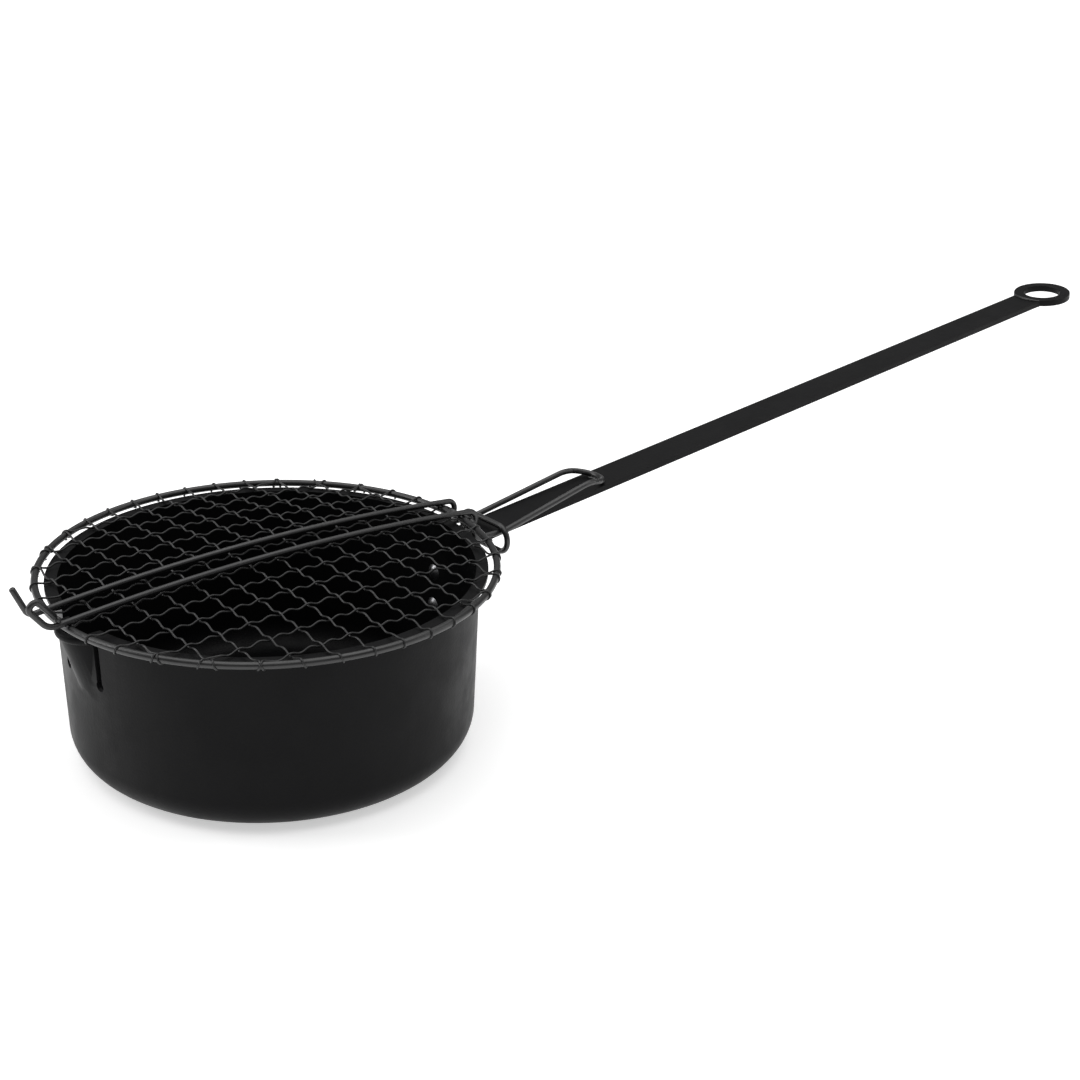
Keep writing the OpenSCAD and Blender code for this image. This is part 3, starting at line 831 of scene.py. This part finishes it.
class POPPER_OT_welds(bpy.types.Operator):
    """Weld beads at the lid bars, the hinge frame's tip and the hanging ring"""

    bl_idname = "popper.welds"
    bl_label = "Welds"

    def execute(self, context):
        s = sizes()
        paint = finishes().wire_paint()
        bm = bmesh.new()
        self.add_bar_beads(bm, s)
        self.add_loop_bead(bm, s)
        new_piece("lid_bar_welds", finish_mesh(bm, "lid_bar_welds"), "lid", "wire_paint", paint)
        bm = bmesh.new()
        self.add_tip_beads(bm, s)
        self.add_ring_beads(bm, s)
        new_piece("handle_welds", finish_mesh(bm, "handle_welds"), "pan_and_handle", "wire_paint", paint)
        return {"FINISHED"}

    def add_bar_beads(self, bm, s):
        """Two beads under each end of both bars, on the rim ring's two sides."""
        across = math.sqrt(s.ring_radius ** 2 - s.bar_offset ** 2)
        height = s.ring_height + s.ring_wire / 2
        for seed, (end, side) in enumerate([(-1, -1), (-1, 1), (1, -1), (1, 1)]):
            for edge in (-1, 1):
                middle = Vector((end * across + edge * BEAD_ASIDE, side * s.bar_offset, height))
                along = spaced(-BAR_BEAD_HALF, BAR_BEAD_HALF, steps=10)
                add_weld(bm, [middle + Vector((0, y, 0)) for y in along], BAR_BEAD_RADIUS, seed * 3 + edge)

    def add_loop_bead(self, bm, s):
        """A bead from the finger loop's end down to its bar."""
        line, ahead = bar_lines(s)
        end = loop_corners(s, line[0], ahead)[0] + Vector((0, -s.bar_offset, 0))
        bar_top = Vector((end.x + LOOP_BEAD_RUN, end.y, line[0].z + s.bar_wire / 2))
        points = [end.lerp(bar_top, t) for t in spaced(0.0, 1.0, steps=6)]
        add_weld(bm, points, LOOP_BEAD_RADIUS, seed=31)

    def add_tip_beads(self, bm, s):
        """A bead inside and one outside the hinge frame's round tip, on the handle."""
        # The beads follow a round that is a little tighter than the tip's own bends
        bend = s.frame_tip_half_width - 2 * TIP_EASE
        middle_x = HINGE.x + s.frame_length - bend
        for side in (-1, 1):
            points = []
            for a in spaced(-TIP_BEAD_TURN, TIP_BEAD_TURN, steps=14):
                x = middle_x + (bend + side * BEAD_ASIDE) * math.cos(a)
                y = (bend + side * BEAD_ASIDE) * math.sin(a)
                points.append(Vector((x, y, handle_top(s, x) + BEAD_LIFT)))
            kept = [p for p in points if abs(p.y) < HANDLE_HIGH.y - TIP_BEAD_INSET]
            add_weld(bm, kept, TIP_BEAD_RADIUS, seed=20 + side)

    def add_ring_beads(self, bm, s):
        """A bead on each face where the hanging ring meets the handle's end."""
        tilt = Vector((math.cos(HANDLE_SLOPE), 0, math.sin(HANDLE_SLOPE)))
        half = math.asin((HANDLE_HIGH.y - RING_BEAD_INSET) / s.hanging_radius)
        for face in (-1, 1):
            lift = face * (s.handle_thickness / 2 + BEAD_LIFT) * HANGING_AXIS
            points = []
            for a in spaced(math.pi - half, math.pi + half, steps=30):
                out = math.cos(a) * tilt + math.sin(a) * Vector((0, 1, 0))
                points.append(HANGING_PLACE + (s.hanging_radius + RING_BEAD_OUT) * out + lift)
            add_weld(bm, points, RING_BEAD_RADIUS, seed=40 + face)


class POPPER_OT_stage(bpy.types.Operator):
    """Pale floor, soft studio light and the camera at the photograph's angle"""

    bl_idname = "popper.stage"
    bl_label = "Stage, light and camera"

    def execute(self, context):
        scene = context.scene
        scene.view_settings.view_transform = "Standard"
        self.add_floor(scene)
        self.add_light(scene, "overhead_softbox", place=(0.4, 0.5, 3.0), target=(0.4, 0.5, 0),
                       size=(4.2, 4.2), power=90)
        self.add_light(scene, "right_strip", place=(1.3, -0.9, 0.7), target=(0.1, 0, 0.06),
                       size=(0.3, 1.2), power=3)
        self.add_light(scene, "left_softbox", place=(-1.1, 1.0, 0.95), target=(0.05, 0, 0.08),
                       size=(0.8, 0.8), power=9)
        self.add_world(scene)
        self.add_camera(scene)
        return {"FINISHED"}

    def add_floor(self, scene):
        """A wide floor with a faint texture, which gives off more light far from the pan."""
        bm = bmesh.new()
        bmesh.ops.create_grid(bm, x_segments=FLOOR_CELLS, y_segments=FLOOR_CELLS, size=FLOOR_HALF)
        mesh = bpy.data.meshes.new("studio_floor")
        bm.to_mesh(mesh)
        bm.free()
        floor = bpy.data.objects.new("studio_floor", mesh)
        floor.location.z = -FLOOR_DROP
        scene.collection.objects.link(floor)
        material, tree, shader = new_shader("pale_floor", specular=0.2)
        tone = ramp(tree, noise_node(tree, scale=6.0, detail=3.0, roughness=0.5), low=0.3, high=0.7)
        pale = scene.popper_colours.floor
        tree.links.new(mix_colour(tree, tone, pale, [FLOOR_SHADE * c for c in pale]),
                       shader.inputs["Base Color"])
        shader.inputs["Roughness"].default_value = FLOOR_ROUGHNESS
        away = tree.nodes.new("ShaderNodeVectorMath")
        away.operation = "LENGTH"
        tree.links.new(tree.nodes.new("ShaderNodeTexCoord").outputs["Object"], away.inputs[0])
        far = ramp(tree, away.outputs["Value"], low=GLOW_START, high=GLOW_END)
        tree.links.new(mix_colour(tree, far, [NEAR_GLOW] * 3, [FAR_GLOW] * 3),
                       shader.inputs["Emission Color"])
        shader.inputs["Emission Strength"].default_value = 1.0
        mesh.materials.append(material)

    def add_light(self, scene, name, place, target, size, power):
        """A soft rectangular light that faces a point."""
        data = bpy.data.lights.new(name, "AREA")
        data.shape = "RECTANGLE"
        data.size, data.size_y = size
        data.energy = power
        light = bpy.data.objects.new(name, data)
        light.location = place
        light.rotation_euler = (Vector(target) - Vector(place)).to_track_quat("-Z", "Y").to_euler()
        scene.collection.objects.link(light)

    def add_world(self, scene):
        """White surroundings that the camera sees brighter than they light the pieces."""
        world = bpy.data.worlds.new("studio_white")
        world.use_nodes = True
        tree = world.node_tree
        background = tree.nodes["Background"]
        background.inputs["Color"].default_value = (1.0, 1.0, 1.0, 1.0)
        rays = tree.nodes.new("ShaderNodeLightPath").outputs["Is Camera Ray"]
        tree.links.new(ramp(tree, rays, to_low=WORLD_LIGHT, to_high=WORLD_SEEN),
                       background.inputs["Strength"])
        scene.world = world

    def add_camera(self, scene):
        """The camera at the place that was worked out from the photograph."""
        data = bpy.data.cameras.new("photo_camera")
        data.lens = CAMERA_LENS
        data.sensor_width = CAMERA_SENSOR
        data.clip_end = CAMERA_REACH
        camera = bpy.data.objects.new("photo_camera", data)
        camera.location = CAMERA_PLACE
        camera.rotation_euler = [math.radians(a) for a in CAMERA_TURN]
        scene.collection.objects.link(camera)
        scene.camera = camera


class POPPER_PT_sidebar(bpy.types.Panel):
    """Lists the popper's pieces, sizes and colours"""

    bl_idname = "POPPER_PT_sidebar"
    bl_label = "Popcorn popper"
    bl_space_type = "VIEW_3D"
    bl_region_type = "UI"
    bl_category = "Popper"

    def draw(self, context):
        for operator in OPERATORS:
            self.layout.operator(operator.bl_idname)
        for group in (context.scene.popper_sizes, context.scene.popper_colours):
            box = self.layout.box()
            for name in group.__annotations__:
                box.prop(group, name)


OPERATORS = (POPPER_OT_pan, POPPER_OT_handle, POPPER_OT_rivets, POPPER_OT_hinge, POPPER_OT_lid_frame,
             POPPER_OT_mesh, POPPER_OT_welds, POPPER_OT_stage)
CLASSES = (PopperSizes, PopperColours, *OPERATORS, POPPER_PT_sidebar)


def register():
    """Registers the classes and their settings on the scene."""
    for cls in CLASSES:
        bpy.utils.register_class(cls)
    bpy.types.Scene.popper_sizes = PointerProperty(type=PopperSizes)
    bpy.types.Scene.popper_colours = PointerProperty(type=PopperColours)


def unregister():
    """Takes the settings and classes away again."""
    del bpy.types.Scene.popper_colours
    del bpy.types.Scene.popper_sizes
    for cls in reversed(CLASSES):
        bpy.utils.unregister_class(cls)


def main():
    register()
    bpy.ops.popper.pan()
    bpy.ops.popper.handle()
    bpy.ops.popper.rivets()
    bpy.ops.popper.hinge()
    bpy.ops.popper.lid_frame()
    bpy.ops.popper.mesh()
    bpy.ops.popper.welds()
    bpy.ops.popper.stage()


if __name__ == "__main__":
    main()
